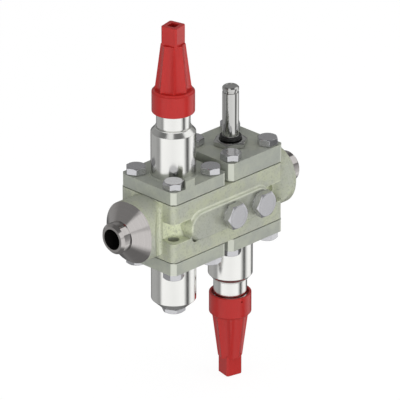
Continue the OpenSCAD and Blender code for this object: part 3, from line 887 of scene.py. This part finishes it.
def end_scaled(group, given, x, y, z, scale):
    """Closes a group that multiplies the distance of its mesh's points from the z axis."""
    target = add_node(group, "ShaderNodeCombineXYZ", X=x * scale, Y=y * scale, Z=z)
    result = add_node(
        group, "GeometryNodeSetPosition", Geometry=given["Geometry"], Position=target
    )
    return end_group(group, given, result)


# %% [markdown]
# ## The body
#
# The real body comes out of a sand mould, so its edges are soft, and the port pad on
# its front flows into the face. It could be modelled again from curves, but the CAD
# has the exact shape. So its copy gets a small rounding on every edge, and a wide one
# on the rim and the root of the pad. A thin curved wedge is cut out beside the blank
# port, where the casting has a shallow hollow.

# %% The pad's wide roundings
NEAR_OUTLINE = 0.12
NEAR_PLANE = 0.1


def on_pad_outline(x, z):
    """True on the outline of the port pad: two straight lines and two half circles."""
    beyond = max(abs(x - MIDDLE) - PITCH / 2, 0)
    return abs(sqrt(beyond ** 2 + z ** 2) - PORT_RADIUS) < NEAR_OUTLINE


def on_pad_rim(x, y, z):
    return y < PAD_FRONT + NEAR_PLANE and on_pad_outline(x, z)


def on_pad_root(x, y, z):
    return abs(y - BODY_FRONT) < NEAR_PLANE and on_pad_outline(x, z)


ROUNDINGS = [(on_pad_rim, 1.7), (on_pad_root, 1.5)]

# %% The hollow beside the pad
HOLLOW_RADIUS = 13.1  # just outside the pad
HOLLOW_STEPS = 12
HOLLOW_TIP = 0.05
HOLLOW_DEPTH = (-34, -27)  # in y, from before the body's front to inside it


def hollow(x, first, last, width):
    """A curved wedge about a port, from one angle to another. It is in metres, and its
    two tips are thin enough for `stacked` to close them."""
    inner, outer = [], []
    for i in range(HOLLOW_STEPS + 1):
        angle = radians(first + (last - first) * i / HOLLOW_STEPS)
        reach = HOLLOW_RADIUS + HOLLOW_TIP + width * sin(pi * i / HOLLOW_STEPS)
        inner.append((x + HOLLOW_RADIUS * cos(angle), HOLLOW_RADIUS * sin(angle)))
        outer.append((x + reach * cos(angle), reach * sin(angle)))
    outline = inner + outer[::-1]
    rings = [[(px * MM, y * MM, pz * MM) for px, pz in outline] for y in HOLLOW_DEPTH]
    return stacked(rings, "hollow")


# %% Body
casting = softened(
    "valve_body", radius=0.7, segments=3, angle=32, wide=ROUNDINGS,
    tools=[hollow(LEFT, first=221, last=262, width=2.1)],
)
assert len(casting.polygons) > 9000, "a cut has emptied the casting"
finished("body_casting", casting, "casting", "station", "valve_body")
print("body:", len(casting.polygons), "faces")

# %% [markdown]
# ## Covers and bolts
#
# The covers are milled plate with broken edges, so the softened CAD shape is all they
# need. The bolts were tightened by hand, so each head stands at its own angle. One
# bolt is made and Geometry Nodes put a copy on each corner, which is less work than
# four objects and keeps each set a single piece.

# %% Covers
for node in ("upper_stop_cover", "lower_stop_cover", "solenoid_cover", "filter_cover"):
    finished(node + "_plate", softened(node, radius=0.35), "cover", "station", node)


# %% Copies on points
def copies_group():
    """Puts a copy of an object on each point, turned by the point's own value."""
    group, given = new_group("copies_on_points", Copy="Object")
    turn = add_node(group, "GeometryNodeInputNamedAttribute", {"data_type": "FLOAT"}, Name="turn")
    rotation = add_node(group, "ShaderNodeCombineXYZ", X=0.0, Y=0.0, Z=turn)
    copy = add_node(
        group, "GeometryNodeObjectInfo", {"transform_space": "ORIGINAL"}, out="Geometry",
        Object=given["Copy"], As_Instance=True,
    )
    placed = add_node(
        group, "GeometryNodeInstanceOnPoints",
        Points=given["Geometry"], Instance=copy, Rotation=rotation,
    )
    return end_group(group, given, placed)


COPIES = copies_group()


def copies(name, mesh, points, slot):
    """Copies of a mesh at (x, y, z, turn in degrees), in local millimetres."""
    places = bpy.data.meshes.new("places")
    places.from_pydata([point[:3] for point in points], [], [])
    turns = places.attributes.new("turn", "FLOAT", "POINT")
    for i, point in enumerate(points):
        turns.data[i].value = radians(point[3])
    master = linked("master", mesh)
    result = run_group(COPIES, places, Copy=master, Material=FINISH[slot])
    bpy.data.objects.remove(master)
    result.name = name
    return result


# %% Bolts
BOLT_PLACE = 22
BOLT_GRIP = 12.5  # how far a bolt reaches below the machined face of the body
CORNERS = [(-1, -1), (1, -1), (-1, 1), (1, 1)]
COVER_BOLTS = [  # node, module, height of the cover's top, turn of each head in degrees
    ("upper_stop_bolts", UPPER_STOP, 12.0, (26, 40, 47, 52)),
    ("lower_stop_bolts", LOWER_STOP, 12.0, (26, 40, 32, 52)),
    ("filter_bolts", FILTER, 12.0, (26, 40, 32, 52)),
    ("solenoid_bolts", SOLENOID, 16.7, (26, 54, 12, 52)),
]
for node, where, cover_top, turns in COVER_BOLTS:
    bolt = bolt_mesh("bolt", flats=16, height=6.4, shank=5, length=cover_top + BOLT_GRIP)
    points = [
        (BOLT_PLACE * x, BOLT_PLACE * y, cover_top, turn) for (x, y), turn in zip(CORNERS, turns)
    ]
    heads = moved(copies(node, bolt, points, "zinc"), where)
    finished(node + "_turned", heads, "zinc", "station", node)
print("bolts:", 4 * len(COVER_BOLTS), "with", len(bolt.polygons), "faces each")

# %% [markdown]
# ## Plugs
#
# Two of the three service ports are closed with hexagon plugs on washers, and a third
# plug drains the strainer. They have the bolt's shape in other sizes, so the same
# function makes them.

# %% Plugs
WASHER_THICKNESS = 1.5
DRAIN_HEIGHT = 59
PORTS = {"center_port": MIDDLE, "right_port": RIGHT}
PAD = -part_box("center_port_washer")[1].y / MM  # the washer's back face lies on the port pad


def on_pad(x, out=0.0):
    """The matrix for a part whose z points forwards from the pad, or from before it."""
    turn = Matrix.Rotation(pi / 2, 4, "X")
    return Matrix.Scale(MM, 4) @ Matrix.Translation((x, -PAD - out, 0)) @ turn


port_plug = bolt_mesh("port_plug", flats=21, height=7.3, shank=8, length=13.5, chamfer=1.4)
for port, x in PORTS.items():
    plug = moved(port_plug, on_pad(x, WASHER_THICKNESS))
    finished(f"{port}_plug_turned", plug, "zinc", "station", f"{port}_plug")
drain = bolt_mesh("drain_plug", flats=18, height=4.2, shank=6, length=8.3)
drain = moved(drain, FILTER @ Matrix.Translation((0, 0, DRAIN_HEIGHT)))
finished("drain_plug_turned", drain, "zinc", "station", "drain_plug")

# %% [markdown]
# ## Bonnets, housing and tube
#
# These are the shiny parts. Their outlines repeat the CAD's, with a small arc on each
# corner. A bonnet's neck carries the thread for its cap. The thread could be a helix
# that is cut out, but that is slow and leaves poor faces. Moving the neck's own rows
# of points inwards by a rule gives the same ridges.


# %% Threads
def thread_group():
    """Cuts a screw thread into the outer wall of a turned part."""
    group, given = new_group(
        "screw_thread", Start="Float", End="Float", Pitch="Float", Depth="Float", Radius="Float"
    )
    start, end = given["Start"], given["End"]
    x, y, z, radius = about_axis(group)
    phase = (z / given["Pitch"] - y.turns_from(x)).apply("FRACT")
    groove = (1 - abs(phase * 2 - 1)).rise(0.1, 0.9)
    outer = radius.math("GREATER_THAN", radius, given["Radius"] - 0.05)
    # the thread deepens and fades over about a millimetre
    fade = z.band(start, start + 1.2, end - 0.8, end)
    scale = 1 - given["Depth"] * groove * fade * outer / radius
    return end_scaled(group, given, x, y, z, scale)


THREAD = thread_group()

# %% Stop valve bonnets
NECK_RADIUS = 14.4
THREAD_FOOT, ROW_STEP, ROWS = 68, 0.25, 36
THREAD_ROWS = [(NECK_RADIUS, THREAD_FOOT + ROW_STEP * i, 0) for i in range(ROWS)]
BONNET = [
    (9, -4, 0.3), (22, -4, 0.3), (22, 0, 0.3), (19.1, 0, 0.1), (19.1, 50.3, 1.0),
    (15.6, 54.2, 0.3), (15.6, 54.8, 0.2), (14.0, 54.8, 0.1), (14.0, 55.6, 0.1),
    (NECK_RADIUS, 55.6, 0.1), *THREAD_ROWS, (NECK_RADIUS, 77, 0.3), (13.4, 78, 0.2),
    (10, 78, 0.3), (10, 46, 0.2), (6.05, 46, 0.2), (6.05, 2, 0.2), (9, 2, 0.3),
]
bonnet = run_group(
    THREAD, turned(BONNET, "bonnet", segments=128),
    Start=68.8, End=77.6, Pitch=2.0, Depth=1.0, Radius=NECK_RADIUS, Material=FINISH["stainless"],
)
bonnet = with_modifiers(bonnet, EVEN_NORMALS)
STOP_VALVES = (("upper", UPPER_STOP), ("lower", LOWER_STOP))
for side, where in STOP_VALVES:
    node = f"{side}_bonnet"
    finished(node + "_turned", moved(bonnet, where), "stainless", "station", node)
print("bonnet:", len(bonnet.polygons), "faces")

# %% Strainer housing
HOUSING = [
    (15.5, -4, 0.3), (22, -4, 0.3), (22, 0, 0.3), (19.1, 0, 0.1), (19.1, 51.1, 0.8),
    (11.4, 58.3, 0.5), (6.05, 58.3, 0.2), (6.05, 50, 0.2), (15.5, 50, 0.3),
]
housing = with_modifiers(turned(HOUSING, "housing", segments=128), EVEN_NORMALS)
finished("filter_housing_turned", moved(housing, FILTER), "stainless", "station", "filter_housing")

# %% [markdown]
# ### The armature tube
#
# The coil of the solenoid valve slides over this thin tube. It is drawn and polished,
# so it mirrors more sharply than the bonnets. Its foot is a hexagon nut with the
# same kind of cone as the bolt heads, joined to the tube as one piece.

# %% Armature tube
NUT_FLATS = 26
NUT_TURN = radians(32)
NUT_TOP, NUT_FOOT = 21.5, 17.2
NUT_FACE = 12.2
TUBE = [
    (5.55, 6.7, 0.2), (8.95, 6.7, 0.8), (8.95, 17.5, 0), (7.35, 17.5, 0), (7.35, 25.6, 0.2),
    (7.05, 25.6, 0), (7.05, 64.5, 0.2), (6.15, 64.9, 0.1), (6.15, 66.3, 0.1), (7.05, 66.7, 0.2),
    (7.05, 68.7, 0.5), (5.85, 69.9, 0.4), (4.6, 69.9, 0.1), (4.4, 69.65, 0.1), (0, 69.65, 0),
    (0, 58.7, 0), (5.55, 58.7, 0.1),
]


def nut_cone(radius):
    return NUT_TOP - 0.6 * max(radius - NUT_FACE, 0)


nut_rings = [
    circle(9.5, NUT_TOP - 0.6), circle(10.2, NUT_TOP), circle(NUT_FACE, NUT_TOP),
    hexagon(NUT_FLATS, nut_cone, turn=NUT_TURN), hexagon(NUT_FLATS, NUT_FOOT, turn=NUT_TURN),
    circle(12.0, NUT_FOOT), circle(12.0, NUT_FOOT - 0.5), circle(9.5, NUT_FOOT - 0.5),
]
nut = stacked(nut_rings, "tube_nut", closed=True)
tube = joined("armature_tube", turned(TUBE, "tube"), nut)
finished(
    "armature_tube_turned", moved(tube, SOLENOID), "stainless", "station", "armature_tube",
    finish="polished",
)

# %% Rings and washers
finished("coil_ring_piece", softened("coil_ring", radius=0.2), "rubber", "station", "coil_ring")
WASHER = [
    (8.05, 0, 0.2), (9.9, 0, 0.4), (9.9, WASHER_THICKNESS, 0.4), (8.05, WASHER_THICKNESS, 0.2),
]
washer = turned(WASHER, "washer")
for port, x in PORTS.items():
    finished(f"{port}_washer_turned", moved(washer, on_pad(x)), "zinc", "station", f"{port}_washer")

# %% [markdown]
# ## Springs
#
# Two springs hide inside, one over the armature and one over the piston. A real one is
# wound wire whose first and last turns lie flat. The Spiral node gives the coil, a
# rule lifts it, and Curve to Mesh gives it thickness.


# %% Winding a spring
def spring_group():
    """Winds a spring about the z axis, from 0 up, with its first and last turn lying flat."""
    group, given = new_group(
        "wound_spring", Coil="Float", Wire="Float", Height="Float", Turns="Float"
    )
    coil, wire, turns = given["Coil"], given["Wire"], given["Turns"]
    path = add_node(
        group, "GeometryNodeCurveSpiral", Resolution=32, Rotations=turns,
        Start_Radius=coil, End_Radius=coil, Height=0.0,
    )
    lap = add_node(group, "GeometryNodeSplineParameter", out="Factor") * turns
    last = turns - 1
    flat = lap.rise(0, 1) + lap.rise(last, turns)
    climb = lap.rise(1, last) * (given["Height"] - wire * 3)
    height = wire / 2 + flat * wire + climb
    path = add_node(
        group, "GeometryNodeSetPosition", Geometry=path,
        Offset=add_node(group, "ShaderNodeCombineXYZ", X=0.0, Y=0.0, Z=height),
    )
    section = add_node(
        group, "GeometryNodeCurvePrimitiveCircle", Resolution=12, Radius=wire / 2
    )
    wound = add_node(
        group, "GeometryNodeCurveToMesh", Curve=path, Profile_Curve=section, Fill_Caps=True
    )
    return end_group(group, given, wound)


SPRING = spring_group()


# %% Springs
def spring(node, coil, wire, foot, top, turns, travel):
    """A wound spring in the solenoid module, from its foot to its top."""
    height = top - foot
    wound = run_group(
        SPRING, bpy.data.meshes.new("start"),
        Coil=coil, Wire=wire, Height=height, Turns=turns, Material=FINISH["zinc"],
    )
    where = SOLENOID @ Matrix.Translation((0, 0, foot))
    piece = finished(node + "_wound", moved(wound, where), "zinc", "station", node)
    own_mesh(piece)
    print(f"{node}: {len(wound.polygons)} faces, {height:.1f} mm, pressed by {travel} mm")


spring(
    "armature_spring",
    coil=4.2, wire=1.0, foot=45.85, top=58.55, turns=7.0, travel=2.5,
)
spring(
    "piston_spring",
    coil=5.0, wire=1.2, foot=-11.85, top=0.65, turns=5.0, travel=4.0,
)

# %% [markdown]
# ## Seal caps
#
# A cap is a turned skirt and taper. Geometry Nodes cut eight flutes into the taper,
# each a piece of a wide cylinder. Eight Boolean cuts would do it too, but a rule that
# moves the wall keeps the faces even, so the ridges stay crisp from foot to top. The
# square end has a socket for a key.


# %% Flutes
def flute_group():
    """Cuts round grooves along a taper. Each ridge stays at the taper's own radius."""
    group, given = new_group(
        "flutes", Count="Int", Flute_Radius="Float", Foot_Axis="Float", Top_Axis="Float",
        Foot="Float", Top="Float", Start="Float", Blend="Float",
    )
    count, foot_axis, foot = given["Count"], given["Foot_Axis"], given["Foot"]
    x, y, z, radius = about_axis(group)
    steps = y.turns_from(x) * count
    from_groove = ((steps + count).apply("FRACT") - 0.5) * tau / count
    up = (z - foot) / (given["Top"] - foot)
    axis = foot_axis + (given["Top_Axis"] - foot_axis) * up
    sideways = axis * from_groove.apply("SINE")
    wall = given["Flute_Radius"]
    to_wall = (wall * wall - sideways * sideways).apply("SQRT")
    groove = axis * from_groove.apply("COSINE") - to_wall
    cut_radius = radius.math("SMOOTH_MIN", radius, groove, given["Blend"])
    active = z.math("GREATER_THAN", z, given["Start"])
    scale = 1 + active * (cut_radius / radius.larger(0.001) - 1)
    return end_scaled(group, given, x, y, z, scale)


FLUTES = flute_group()

# %% Fluted shell
CAP_FOOT, CAP_TOP = 90.5, 129.1
FOOT_RIDGE, TOP_RIDGE = 15.3, 10.4
FLUTE_RADIUS = 14.0
FLUTE_COUNT = 8
TAPER_STEPS = 14


def flute_axis(ridge):
    """How far a flute's axis stands from the cap's axis for ridges at this radius."""
    half = pi / FLUTE_COUNT
    return ridge * cos(half) + sqrt(FLUTE_RADIUS ** 2 - (ridge * sin(half)) ** 2)


def on_taper(step):
    """A point of the taper's outline, counted from its foot to its top."""
    radius = FOOT_RIDGE + (TOP_RIDGE - FOOT_RIDGE) * step / TAPER_STEPS
    return (radius, CAP_FOOT + (CAP_TOP - CAP_FOOT) * step / TAPER_STEPS, 0)


CAP = [
    (16, 68.4, 0.3), (18.15, 68.4, 0.7), (18.15, 86.6, 0.9), (17.35, 87.0, 0.5),
    (16.5, 88.44, 0), (16.46, 88.52, 0), (FOOT_RIDGE, CAP_FOOT, 0.8),
    *[on_taper(step) for step in range(1, TAPER_STEPS)],
    (TOP_RIDGE, CAP_TOP, 0.8), (6.0, CAP_TOP, 0), (6.0, 123.1, 0), (7.46, 123.1, 0.3),
    (11.77, 86.5, 0.3), (11.77, 79, 0.2), (14.45, 79, 0.2), (14.45, 71, 0.2), (16, 71, 0.2),
]
cap_shell = run_group(
    FLUTES, turned(CAP, "cap", segments=192), Count=FLUTE_COUNT, Flute_Radius=FLUTE_RADIUS,
    Foot_Axis=flute_axis(FOOT_RIDGE), Top_Axis=flute_axis(TOP_RIDGE), Foot=CAP_FOOT, Top=CAP_TOP,
    Start=88.5, Blend=0.4, Material=FINISH["cap_red"],
)


# %% Square end
def square_ring(width, chamfer, rounding, height):
    """A square with cut corners, as a ring of points."""
    half, short = width / 2, width / 2 - chamfer
    corners = [
        (half, -short), (half, short), (short, half), (-short, half),
        (-half, short), (-half, -short), (-short, -half), (short, -half),
    ]
    outline = rounded([(*corner, rounding) for corner in corners])
    return [(point.x, point.y, height) for point in outline]


SQUARE_TURN = radians(13)
SQUARE_END = [  # width, chamfer, rounding, height: up the outside, then down the socket
    (15.1, 1.2, 0.5, 127), (15.1, 1.2, 0.5, 144.9), (14.8, 1.1, 0.5, 145.3),
    (14.2, 1.0, 0.5, 145.5), (8.2, 0.6, 0.2, 145.5), (7.6, 0.4, 0.2, 145.2),
    (7.6, 0.4, 0.2, 135.5),
]
block = stacked([square_ring(*row) for row in SQUARE_END], "cap_block")
block.transform(Matrix.Rotation(SQUARE_TURN, 4, "Z"))

# %% The hole for the seal's wire
WIRE_HOLE_RADIUS = 0.8
WIRE_HOLE_HEIGHT = 72
WIRE_HOLE_TURN = radians(102)
drill_outline = [
    (0, 10, 0), (WIRE_HOLE_RADIUS, 10, 0), (WIRE_HOLE_RADIUS, 30, 0), (0, 30, 0),
]
drill = turned(drill_outline, "wire_drill", segments=24)
aim_drill = Matrix.Rotation(WIRE_HOLE_TURN, 4, "Z") @ Matrix.Rotation(pi / 2, 4, "Y")
drill.transform(Matrix.Translation((0, 0, WIRE_HOLE_HEIGHT)) @ aim_drill)
cap_shell = cut_out(cap_shell, drill)

# %% Both caps
cap = with_modifiers(joined("seal_cap", cap_shell, block), EVEN_NORMALS)
for side, where in STOP_VALVES:
    node = f"{side}_seal_cap"
    finished(node + "_turned", moved(cap, where), "cap_red", f"{side}_cap", node)
print("cap:", len(cap.polygons), "faces")

# %% [markdown]
# ## What stays as the CAD has it
#
# Gaskets, seats, packings and the other inner parts show little or nothing. Their CAD
# nodes are good enough, so they only get the finish that their slot names.

# %% Finishes for the CAD nodes
slots = {row["node"]: row["material_slot"] for row in frame["record"]["subparts"]}
for node, shown in frame["nodes"].items():
    shown.data.materials.clear()
    shown.data.materials.append(FINISH[slots[node]])
print("nodes in the frame:", len(frame["nodes"]))

# %% [markdown]
# ## The studio
#
# A white floor, four soft lamps and an even sky. The floor and the sky are white to
# the camera, but light the object only gently. Metal needs something to reflect, so
# for glossy rays the sky has the bands of light and dark that a studio has.


# %% Helpers for floor and sky
def grey(level):
    return (level, level, level)


def empty_tree(owner):
    """The node tree of a material or a world, with nothing in it."""
    owner.use_nodes = True
    owner.node_tree.nodes.clear()
    return owner.node_tree


def ray_kinds(tree, *kinds):
    """For each kind of ray a socket that is 1 for such rays and 0 for others."""
    path = tree.nodes.new("ShaderNodeLightPath")
    return [Socket(tree, path.outputs[f"Is {kind} Ray"]) for kind in kinds]


# %% Floor
FLOOR_HALF = 6.0  # metres
FLOOR_GAP = 0.5
FLOOR_WHITE = 0.85  # how much of what the camera sees of the floor is plain white


def make_floor():
    shape = bmesh.new()
    bmesh.ops.create_grid(shape, x_segments=1, y_segments=1, size=FLOOR_HALF)
    mesh = mesh_from(shape, "floor")
    floor = linked("floor", mesh)
    floor.location = (MIDDLE * MM, 0, cad_box[0][2] - FLOOR_GAP * MM)
    material = bpy.data.materials.new("pale_floor")
    tree = empty_tree(material)
    seen, glossy = ray_kinds(tree, "Camera", "Glossy")
    behind = add_node(tree, "ShaderNodeNewGeometry", out="Backfacing")
    matt = add_node(tree, "ShaderNodeBsdfDiffuse", Color=(*grey(0.6), 1))
    bright = add_node(tree, "ShaderNodeBsdfDiffuse", Color=(*grey(0.9), 1))
    white = add_node(tree, "ShaderNodeEmission", Color=(1, 1, 1, 1), Strength=1.07)
    clear = add_node(tree, "ShaderNodeBsdfTransparent")
    to_eye = add_node(tree, "ShaderNodeMixShader", i0=FLOOR_WHITE, i1=bright, i2=white)
    kept = add_node(tree, "ShaderNodeMixShader", i0=seen, i1=matt, i2=to_eye)
    final = add_node(tree, "ShaderNodeMixShader", i0=glossy.larger(behind), i1=kept, i2=clear)
    result = tree.nodes.new("ShaderNodeOutputMaterial")
    tree.links.new(final.output, result.inputs["Surface"])
    mesh.materials.append(material)


make_floor()

# %% What metal sees of the studio
# Turn and brightness. The turn is 0 behind, 0.25 left, 0.5 at the camera and 0.75 right.
STUDIO_BANDS = [
    (0.00, 0.10), (0.06, 0.12), (0.10, 0.36), (0.22, 0.38), (0.298, 0.27), (0.328, 0.98),
    (0.50, 0.90), (0.65, 1.0), (0.70, 0.05), (0.725, 0.05), (0.746, 0.70), (0.762, 0.72),
    (0.778, 0.98), (0.85, 0.92), (0.89, 0.08), (1.0, 0.10),
]
# Soft boxes over the object: first and last turn, lowest and highest z.
SOFT_BOXES = [(0.69, 0.88, 0.3, 0.82), (0.34, 0.66, 0.12, 0.6), (0.345, 0.52, 0.78, 0.96)]
BOX_EDGE_TURN, BOX_EDGE_Z = 0.03, 0.06


def mirrored_studio(x, y, z):
    """The colours that a glossy ray meets in this direction."""
    front = (x * to_camera.x + y * to_camera.y) / cos(ELEVATION)
    side = x * to_right.x + y * to_right.y
    turn = side.turns_from(front) + 0.5
    bands = layered(
        turn.ramp(*[(at, grey(level)) for at, level in STUDIO_BANDS]),
        (z.rise(-0.05, 0.3), grey(0.27)),
        (z.rise(0.55, 0.72), grey(0.15)),
        (z.fall(-0.9, -0.6), grey(0.2)),
    )
    for left, right, bottom, top in SOFT_BOXES:
        across = turn.band(left, left + BOX_EDGE_TURN, right - BOX_EDGE_TURN, right)
        box = across * z.band(bottom, bottom + BOX_EDGE_Z, top - BOX_EDGE_Z, top)
        bands = blend_colours(box, bands, grey(0.92))
    return bands


# %% Sky
def make_sky():
    world = bpy.data.worlds.new("studio")
    bpy.context.scene.world = world
    tree = empty_tree(world)
    bands = mirrored_studio(*add_node(tree, "ShaderNodeTexCoord", out="Generated").parts())
    seen, glossy, passing = ray_kinds(tree, "Camera", "Glossy", "Transmission")
    plain = seen.larger(passing)
    light = layered(grey(0.58), (glossy, bands), (plain, grey(1.0)))
    strength = (glossy * (1 - plain)).between(1.0, 1.18)
    background = add_node(tree, "ShaderNodeBackground", Color=light, Strength=strength)
    result = tree.nodes.new("ShaderNodeOutputWorld")
    tree.links.new(background.output, result.inputs["Surface"])


make_sky()

# %% [markdown]
# ### Lamps
#
# The sky alone gives no direction. Four large, weak lamps add it: one near the camera,
# one on each side and one above. They are hidden from glossy rays, because the sky
# already holds what the metal should mirror.


# %% Lamps
def soft_lamp(name, turn, height, distance, size, power):
    """A soft box that faces the station. Its distance and size are in metres, and its
    turn is counted from the camera, to the right, in degrees."""
    lamp = bpy.data.lights.new(name, "AREA")
    lamp.shape = "RECTANGLE"
    lamp.size, lamp.size_y = size
    lamp.energy = power
    out = towards(AZIMUTH + radians(turn), radians(height))
    holder = linked(name, lamp)
    holder.location = Vector((MIDDLE * MM, 0, 0)) + out * distance
    holder.rotation_euler = out.to_track_quat("Z", "Y").to_euler()
    holder.visible_glossy = False


soft_lamp("front_box", turn=8, height=4, distance=1.6, size=(1.0, 0.8), power=13)
soft_lamp("right_box", turn=75, height=10, distance=1.6, size=(0.9, 0.9), power=3.6)
soft_lamp("left_box", turn=-60, height=10, distance=1.8, size=(0.9, 0.9), power=3)
soft_lamp("top_box", turn=0, height=80, distance=1.8, size=(1.2, 1.2), power=3)

# %% Look of the picture
bpy.context.scene.view_settings.view_transform = "Standard"
